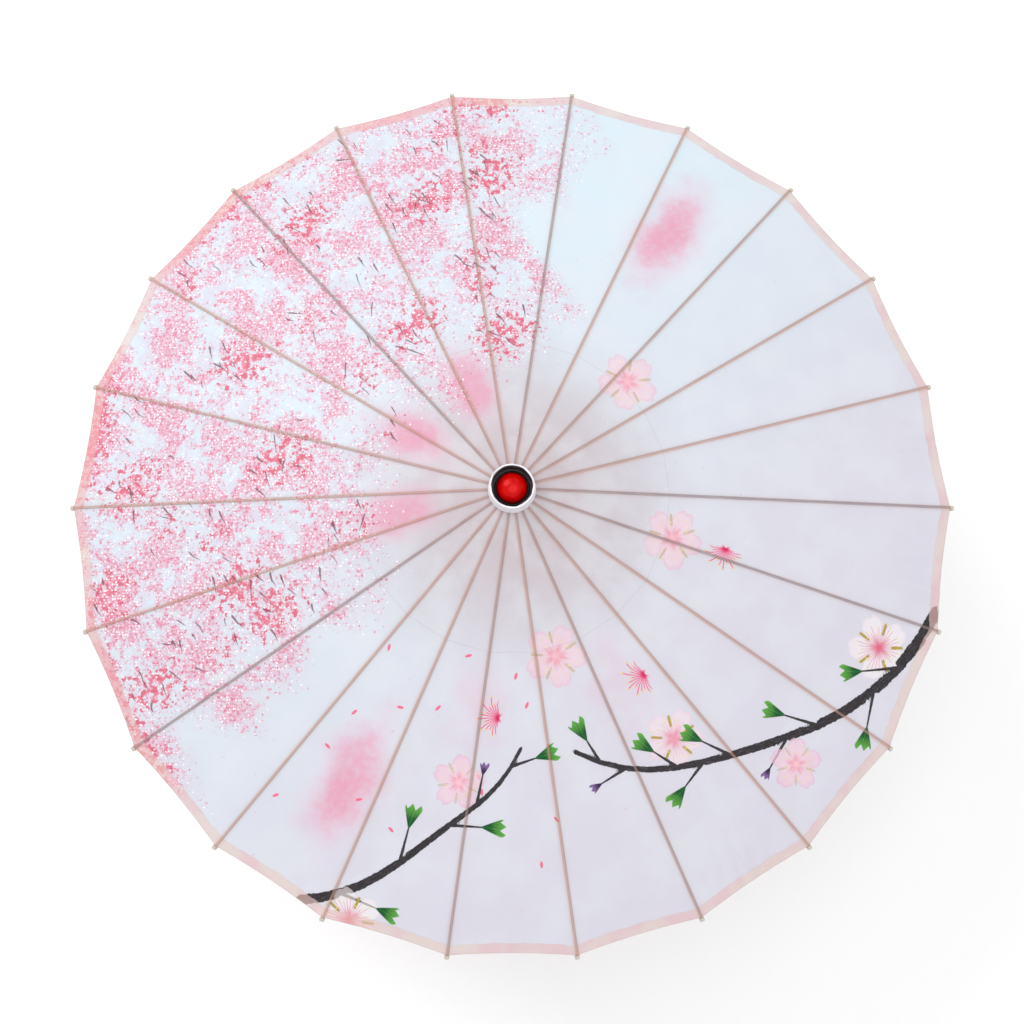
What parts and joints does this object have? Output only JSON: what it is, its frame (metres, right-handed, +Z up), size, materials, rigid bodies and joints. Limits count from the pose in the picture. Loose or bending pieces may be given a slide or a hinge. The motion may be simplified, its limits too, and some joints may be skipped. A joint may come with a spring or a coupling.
{
  "type": "paper umbrella",
  "caption": "Open paper umbrella with flat gores on folding bamboo ribs, stretchers on a sliding runner, a sprung catch, a round shaft and a turned grip.",
  "frame": {"origin": "centre of the handle's flat end, the lowest point of the umbrella", "axes": "+Z up the shaft to the knob, +X along the first rib, and the catch faces -Y"},
  "size_m": [0.8426, 0.8346, 0.54],
  "materials": {
    "shaft_wood": "satin varnish",
    "grip_wood": "satin varnish",
    "ferrule_brass": "polished",
    "peg_wood": "plain",
    "head_wood": "dark lacquer",
    "runner_wood": "satin varnish",
    "wire_steel": "drawn",
    "catch_steel": "spring temper",
    "knob_lacquer": "gloss lacquer",
    "collar_paper": "oiled, layered",
    "canopy_paper": "oiled, translucent",
    "thread_cotton": "waxed",
    "rib_bamboo": "scraped bamboo",
    "stretcher_bamboo": "scraped bamboo"
  },
  "bodies": {
    "pole": {"shaft": "shaft_wood", "handle_grip": "grip_wood", "grip_ferrule": "ferrule_brass", "grip_pin": "peg_wood", "head_hub": "head_wood", "head_wire": "wire_steel", "head_pin": "peg_wood", "latch_pin": "catch_steel", "finial": "knob_lacquer", "cap_collar": "collar_paper", "canopy": "canopy_paper", "rim_thread": "thread_cotton", "pivot_thread": "thread_cotton"},
    "runner": {"runner_hub": "runner_wood", "runner_wire": "wire_steel"},
    "catch": {"latch_spring": "catch_steel"},
    "rib_01": {"rib_01": "rib_bamboo"},
    "stretcher_01": {"stretcher_01": "stretcher_bamboo"},
    "rib_02": {"rib_02": "rib_bamboo"},
    "stretcher_02": {"stretcher_02": "stretcher_bamboo"},
    "rib_03": {"rib_03": "rib_bamboo"},
    "stretcher_03": {"stretcher_03": "stretcher_bamboo"},
    "rib_04": {"rib_04": "rib_bamboo"},
    "stretcher_04": {"stretcher_04": "stretcher_bamboo"},
    "rib_05": {"rib_05": "rib_bamboo"},
    "stretcher_05": {"stretcher_05": "stretcher_bamboo"},
    "rib_06": {"rib_06": "rib_bamboo"},
    "stretcher_06": {"stretcher_06": "stretcher_bamboo"},
    "rib_07": {"rib_07": "rib_bamboo"},
    "stretcher_07": {"stretcher_07": "stretcher_bamboo"},
    "rib_08": {"rib_08": "rib_bamboo"},
    "stretcher_08": {"stretcher_08": "stretcher_bamboo"},
    "rib_09": {"rib_09": "rib_bamboo"},
    "stretcher_09": {"stretcher_09": "stretcher_bamboo"},
    "rib_10": {"rib_10": "rib_bamboo"},
    "stretcher_10": {"stretcher_10": "stretcher_bamboo"},
    "rib_11": {"rib_11": "rib_bamboo"},
    "stretcher_11": {"stretcher_11": "stretcher_bamboo"},
    "rib_12": {"rib_12": "rib_bamboo"},
    "stretcher_12": {"stretcher_12": "stretcher_bamboo"},
    "rib_13": {"rib_13": "rib_bamboo"},
    "stretcher_13": {"stretcher_13": "stretcher_bamboo"},
    "rib_14": {"rib_14": "rib_bamboo"},
    "stretcher_14": {"stretcher_14": "stretcher_bamboo"},
    "rib_15": {"rib_15": "rib_bamboo"},
    "stretcher_15": {"stretcher_15": "stretcher_bamboo"},
    "rib_16": {"rib_16": "rib_bamboo"},
    "stretcher_16": {"stretcher_16": "stretcher_bamboo"},
    "rib_17": {"rib_17": "rib_bamboo"},
    "stretcher_17": {"stretcher_17": "stretcher_bamboo"},
    "rib_18": {"rib_18": "rib_bamboo"},
    "stretcher_18": {"stretcher_18": "stretcher_bamboo"},
    "rib_19": {"rib_19": "rib_bamboo"},
    "stretcher_19": {"stretcher_19": "stretcher_bamboo"},
    "rib_20": {"rib_20": "rib_bamboo"},
    "stretcher_20": {"stretcher_20": "stretcher_bamboo"},
    "rib_21": {"rib_21": "rib_bamboo"},
    "stretcher_21": {"stretcher_21": "stretcher_bamboo"},
    "rib_22": {"rib_22": "rib_bamboo"},
    "stretcher_22": {"stretcher_22": "stretcher_bamboo"}
  },
  "joints": [
    {"name": "runner_slide", "type": "slide", "parent": "pole", "child": "runner", "axis": [0, 0, -1], "range_m": [0, 0.19403], "deforming": ["canopy", "rim_thread", "pivot_thread", "latch_spring"]},
    {"name": "latch_press", "type": "hinge", "parent": "pole", "child": "catch", "pos_m": [0, -0.003, 0.35219], "axis": [-1, 0, 0], "range_deg": [0, 5], "stiffness_Nm_per_rad": 0.4},
    {"name": "rib_hinge_01", "type": "hinge", "parent": "pole", "child": "rib_01", "pos_m": [0.016, 0, 0.516], "axis": [0, 1, 0], "range_deg": [0, 73.05]},
    {"name": "stretcher_hinge_01", "type": "hinge", "parent": "rib_01", "child": "stretcher_01", "pos_m": [0.14254, 0, 0.48209], "axis": [0, 1, 0], "range_deg": [-146.1, 0]},
    {"name": "rib_hinge_02", "type": "hinge", "parent": "pole", "child": "rib_02", "pos_m": [0.01535, 0.00451, 0.516], "axis": [-0.2817, 0.9595, 0], "range_deg": [0, 73.05]},
    {"name": "stretcher_hinge_02", "type": "hinge", "parent": "rib_02", "child": "stretcher_02", "pos_m": [0.13676, 0.04016, 0.48209], "axis": [-0.2817, 0.9595, 0], "range_deg": [-146.1, 0]},
    {"name": "rib_hinge_03", "type": "hinge", "parent": "pole", "child": "rib_03", "pos_m": [0.01346, 0.00865, 0.516], "axis": [-0.5406, 0.8413, 0], "range_deg": [0, 73.05]},
    {"name": "stretcher_hinge_03", "type": "hinge", "parent": "rib_03", "child": "stretcher_03", "pos_m": [0.11991, 0.07706, 0.48209], "axis": [-0.5406, 0.8413, 0], "range_deg": [-146.1, 0]},
    {"name": "rib_hinge_04", "type": "hinge", "parent": "pole", "child": "rib_04", "pos_m": [0.01048, 0.01209, 0.516], "axis": [-0.7557, 0.6549, 0], "range_deg": [0, 73.05]},
    {"name": "stretcher_hinge_04", "type": "hinge", "parent": "rib_04", "child": "stretcher_04", "pos_m": [0.09334, 0.10772, 0.48209], "axis": [-0.7557, 0.6549, 0], "range_deg": [-146.1, 0]},
    {"name": "rib_hinge_05", "type": "hinge", "parent": "pole", "child": "rib_05", "pos_m": [0.00665, 0.01455, 0.516], "axis": [-0.9096, 0.4154, 0], "range_deg": [0, 73.05]},
    {"name": "stretcher_hinge_05", "type": "hinge", "parent": "rib_05", "child": "stretcher_05", "pos_m": [0.05921, 0.12966, 0.48209], "axis": [-0.9096, 0.4154, 0], "range_deg": [-146.1, 0]},
    {"name": "rib_hinge_06", "type": "hinge", "parent": "pole", "child": "rib_06", "pos_m": [0.00228, 0.01584, 0.516], "axis": [-0.9898, 0.1423, 0], "range_deg": [0, 73.05]},
    {"name": "stretcher_hinge_06", "type": "hinge", "parent": "rib_06", "child": "stretcher_06", "pos_m": [0.02029, 0.14109, 0.48209], "axis": [-0.9898, 0.1423, 0], "range_deg": [-146.1, 0]},
    {"name": "rib_hinge_07", "type": "hinge", "parent": "pole", "child": "rib_07", "pos_m": [-0.00228, 0.01584, 0.516], "axis": [-0.9898, -0.1423, 0], "range_deg": [0, 73.05]},
    {"name": "stretcher_hinge_07", "type": "hinge", "parent": "rib_07", "child": "stretcher_07", "pos_m": [-0.02029, 0.14109, 0.48209], "axis": [-0.9898, -0.1423, 0], "range_deg": [-146.1, 0]},
    {"name": "rib_hinge_08", "type": "hinge", "parent": "pole", "child": "rib_08", "pos_m": [-0.00665, 0.01455, 0.516], "axis": [-0.9096, -0.4154, 0], "range_deg": [0, 73.05]},
    {"name": "stretcher_hinge_08", "type": "hinge", "parent": "rib_08", "child": "stretcher_08", "pos_m": [-0.05921, 0.12966, 0.48209], "axis": [-0.9096, -0.4154, 0], "range_deg": [-146.1, 0]},
    {"name": "rib_hinge_09", "type": "hinge", "parent": "pole", "child": "rib_09", "pos_m": [-0.01048, 0.01209, 0.516], "axis": [-0.7557, -0.6549, 0], "range_deg": [0, 73.05]},
    {"name": "stretcher_hinge_09", "type": "hinge", "parent": "rib_09", "child": "stretcher_09", "pos_m": [-0.09334, 0.10772, 0.48209], "axis": [-0.7557, -0.6549, 0], "range_deg": [-146.1, 0]},
    {"name": "rib_hinge_10", "type": "hinge", "parent": "pole", "child": "rib_10", "pos_m": [-0.01346, 0.00865, 0.516], "axis": [-0.5406, -0.8413, 0], "range_deg": [0, 73.05]},
    {"name": "stretcher_hinge_10", "type": "hinge", "parent": "rib_10", "child": "stretcher_10", "pos_m": [-0.11991, 0.07706, 0.48209], "axis": [-0.5406, -0.8413, 0], "range_deg": [-146.1, 0]},
    {"name": "rib_hinge_11", "type": "hinge", "parent": "pole", "child": "rib_11", "pos_m": [-0.01535, 0.00451, 0.516], "axis": [-0.2817, -0.9595, 0], "range_deg": [0, 73.05]},
    {"name": "stretcher_hinge_11", "type": "hinge", "parent": "rib_11", "child": "stretcher_11", "pos_m": [-0.13676, 0.04016, 0.48209], "axis": [-0.2817, -0.9595, 0], "range_deg": [-146.1, 0]},
    {"name": "rib_hinge_12", "type": "hinge", "parent": "pole", "child": "rib_12", "pos_m": [-0.016, 0, 0.516], "axis": [0, -1, 0], "range_deg": [0, 73.05]},
    {"name": "stretcher_hinge_12", "type": "hinge", "parent": "rib_12", "child": "stretcher_12", "pos_m": [-0.14254, 0, 0.48209], "axis": [0, -1, 0], "range_deg": [-146.1, 0]},
    {"name": "rib_hinge_13", "type": "hinge", "parent": "pole", "child": "rib_13", "pos_m": [-0.01535, -0.00451, 0.516], "axis": [0.2817, -0.9595, 0], "range_deg": [0, 73.05]},
    {"name": "stretcher_hinge_13", "type": "hinge", "parent": "rib_13", "child": "stretcher_13", "pos_m": [-0.13676, -0.04016, 0.48209], "axis": [0.2817, -0.9595, 0], "range_deg": [-146.1, 0]},
    {"name": "rib_hinge_14", "type": "hinge", "parent": "pole", "child": "rib_14", "pos_m": [-0.01346, -0.00865, 0.516], "axis": [0.5406, -0.8413, 0], "range_deg": [0, 73.05]},
    {"name": "stretcher_hinge_14", "type": "hinge", "parent": "rib_14", "child": "stretcher_14", "pos_m": [-0.11991, -0.07706, 0.48209], "axis": [0.5406, -0.8413, 0], "range_deg": [-146.1, 0]},
    {"name": "rib_hinge_15", "type": "hinge", "parent": "pole", "child": "rib_15", "pos_m": [-0.01048, -0.01209, 0.516], "axis": [0.7557, -0.6549, 0], "range_deg": [0, 73.05]},
    {"name": "stretcher_hinge_15", "type": "hinge", "parent": "rib_15", "child": "stretcher_15", "pos_m": [-0.09334, -0.10772, 0.48209], "axis": [0.7557, -0.6549, 0], "range_deg": [-146.1, 0]},
    {"name": "rib_hinge_16", "type": "hinge", "parent": "pole", "child": "rib_16", "pos_m": [-0.00665, -0.01455, 0.516], "axis": [0.9096, -0.4154, 0], "range_deg": [0, 73.05]},
    {"name": "stretcher_hinge_16", "type": "hinge", "parent": "rib_16", "child": "stretcher_16", "pos_m": [-0.05921, -0.12966, 0.48209], "axis": [0.9096, -0.4154, 0], "range_deg": [-146.1, 0]},
    {"name": "rib_hinge_17", "type": "hinge", "parent": "pole", "child": "rib_17", "pos_m": [-0.00228, -0.01584, 0.516], "axis": [0.9898, -0.1423, 0], "range_deg": [0, 73.05]},
    {"name": "stretcher_hinge_17", "type": "hinge", "parent": "rib_17", "child": "stretcher_17", "pos_m": [-0.02029, -0.14109, 0.48209], "axis": [0.9898, -0.1423, 0], "range_deg": [-146.1, 0]},
    {"name": "rib_hinge_18", "type": "hinge", "parent": "pole", "child": "rib_18", "pos_m": [0.00228, -0.01584, 0.516], "axis": [0.9898, 0.1423, 0], "range_deg": [0, 73.05]},
    {"name": "stretcher_hinge_18", "type": "hinge", "parent": "rib_18", "child": "stretcher_18", "pos_m": [0.02029, -0.14109, 0.48209], "axis": [0.9898, 0.1423, 0], "range_deg": [-146.1, 0]},
    {"name": "rib_hinge_19", "type": "hinge", "parent": "pole", "child": "rib_19", "pos_m": [0.00665, -0.01455, 0.516], "axis": [0.9096, 0.4154, 0], "range_deg": [0, 73.05]},
    {"name": "stretcher_hinge_19", "type": "hinge", "parent": "rib_19", "child": "stretcher_19", "pos_m": [0.05921, -0.12966, 0.48209], "axis": [0.9096, 0.4154, 0], "range_deg": [-146.1, 0]},
    {"name": "rib_hinge_20", "type": "hinge", "parent": "pole", "child": "rib_20", "pos_m": [0.01048, -0.01209, 0.516], "axis": [0.7557, 0.6549, 0], "range_deg": [0, 73.05]},
    {"name": "stretcher_hinge_20", "type": "hinge", "parent": "rib_20", "child": "stretcher_20", "pos_m": [0.09334, -0.10772, 0.48209], "axis": [0.7557, 0.6549, 0], "range_deg": [-146.1, 0]},
    {"name": "rib_hinge_21", "type": "hinge", "parent": "pole", "child": "rib_21", "pos_m": [0.01346, -0.00865, 0.516], "axis": [0.5406, 0.8413, 0], "range_deg": [0, 73.05]},
    {"name": "stretcher_hinge_21", "type": "hinge", "parent": "rib_21", "child": "stretcher_21", "pos_m": [0.11991, -0.07706, 0.48209], "axis": [0.5406, 0.8413, 0], "range_deg": [-146.1, 0]},
    {"name": "rib_hinge_22", "type": "hinge", "parent": "pole", "child": "rib_22", "pos_m": [0.01535, -0.00451, 0.516], "axis": [0.2817, 0.9595, 0], "range_deg": [0, 73.05]},
    {"name": "stretcher_hinge_22", "type": "hinge", "parent": "rib_22", "child": "stretcher_22", "pos_m": [0.13676, -0.04016, 0.48209], "axis": [0.2817, 0.9595, 0], "range_deg": [-146.1, 0]}
  ],
  "couplings": [
    {"joint": "rib_hinge_01", "follows": "runner_slide", "rad_per_m": 6.5665},
    {"joint": "stretcher_hinge_01", "follows": "runner_slide", "rad_per_m": -13.133},
    {"joint": "rib_hinge_02", "follows": "runner_slide", "rad_per_m": 6.5665},
    {"joint": "stretcher_hinge_02", "follows": "runner_slide", "rad_per_m": -13.133},
    {"joint": "rib_hinge_03", "follows": "runner_slide", "rad_per_m": 6.5665},
    {"joint": "stretcher_hinge_03", "follows": "runner_slide", "rad_per_m": -13.133},
    {"joint": "rib_hinge_04", "follows": "runner_slide", "rad_per_m": 6.5665},
    {"joint": "stretcher_hinge_04", "follows": "runner_slide", "rad_per_m": -13.133},
    {"joint": "rib_hinge_05", "follows": "runner_slide", "rad_per_m": 6.5665},
    {"joint": "stretcher_hinge_05", "follows": "runner_slide", "rad_per_m": -13.133},
    {"joint": "rib_hinge_06", "follows": "runner_slide", "rad_per_m": 6.5665},
    {"joint": "stretcher_hinge_06", "follows": "runner_slide", "rad_per_m": -13.133},
    {"joint": "rib_hinge_07", "follows": "runner_slide", "rad_per_m": 6.5665},
    {"joint": "stretcher_hinge_07", "follows": "runner_slide", "rad_per_m": -13.133},
    {"joint": "rib_hinge_08", "follows": "runner_slide", "rad_per_m": 6.5665},
    {"joint": "stretcher_hinge_08", "follows": "runner_slide", "rad_per_m": -13.133},
    {"joint": "rib_hinge_09", "follows": "runner_slide", "rad_per_m": 6.5665},
    {"joint": "stretcher_hinge_09", "follows": "runner_slide", "rad_per_m": -13.133},
    {"joint": "rib_hinge_10", "follows": "runner_slide", "rad_per_m": 6.5665},
    {"joint": "stretcher_hinge_10", "follows": "runner_slide", "rad_per_m": -13.133},
    {"joint": "rib_hinge_11", "follows": "runner_slide", "rad_per_m": 6.5665},
    {"joint": "stretcher_hinge_11", "follows": "runner_slide", "rad_per_m": -13.133},
    {"joint": "rib_hinge_12", "follows": "runner_slide", "rad_per_m": 6.5665},
    {"joint": "stretcher_hinge_12", "follows": "runner_slide", "rad_per_m": -13.133},
    {"joint": "rib_hinge_13", "follows": "runner_slide", "rad_per_m": 6.5665},
    {"joint": "stretcher_hinge_13", "follows": "runner_slide", "rad_per_m": -13.133},
    {"joint": "rib_hinge_14", "follows": "runner_slide", "rad_per_m": 6.5665},
    {"joint": "stretcher_hinge_14", "follows": "runner_slide", "rad_per_m": -13.133},
    {"joint": "rib_hinge_15", "follows": "runner_slide", "rad_per_m": 6.5665},
    {"joint": "stretcher_hinge_15", "follows": "runner_slide", "rad_per_m": -13.133},
    {"joint": "rib_hinge_16", "follows": "runner_slide", "rad_per_m": 6.5665},
    {"joint": "stretcher_hinge_16", "follows": "runner_slide", "rad_per_m": -13.133},
    {"joint": "rib_hinge_17", "follows": "runner_slide", "rad_per_m": 6.5665},
    {"joint": "stretcher_hinge_17", "follows": "runner_slide", "rad_per_m": -13.133},
    {"joint": "rib_hinge_18", "follows": "runner_slide", "rad_per_m": 6.5665},
    {"joint": "stretcher_hinge_18", "follows": "runner_slide", "rad_per_m": -13.133},
    {"joint": "rib_hinge_19", "follows": "runner_slide", "rad_per_m": 6.5665},
    {"joint": "stretcher_hinge_19", "follows": "runner_slide", "rad_per_m": -13.133},
    {"joint": "rib_hinge_20", "follows": "runner_slide", "rad_per_m": 6.5665},
    {"joint": "stretcher_hinge_20", "follows": "runner_slide", "rad_per_m": -13.133},
    {"joint": "rib_hinge_21", "follows": "runner_slide", "rad_per_m": 6.5665},
    {"joint": "stretcher_hinge_21", "follows": "runner_slide", "rad_per_m": -13.133},
    {"joint": "rib_hinge_22", "follows": "runner_slide", "rad_per_m": 6.5665},
    {"joint": "stretcher_hinge_22", "follows": "runner_slide", "rad_per_m": -13.133}
  ]
}
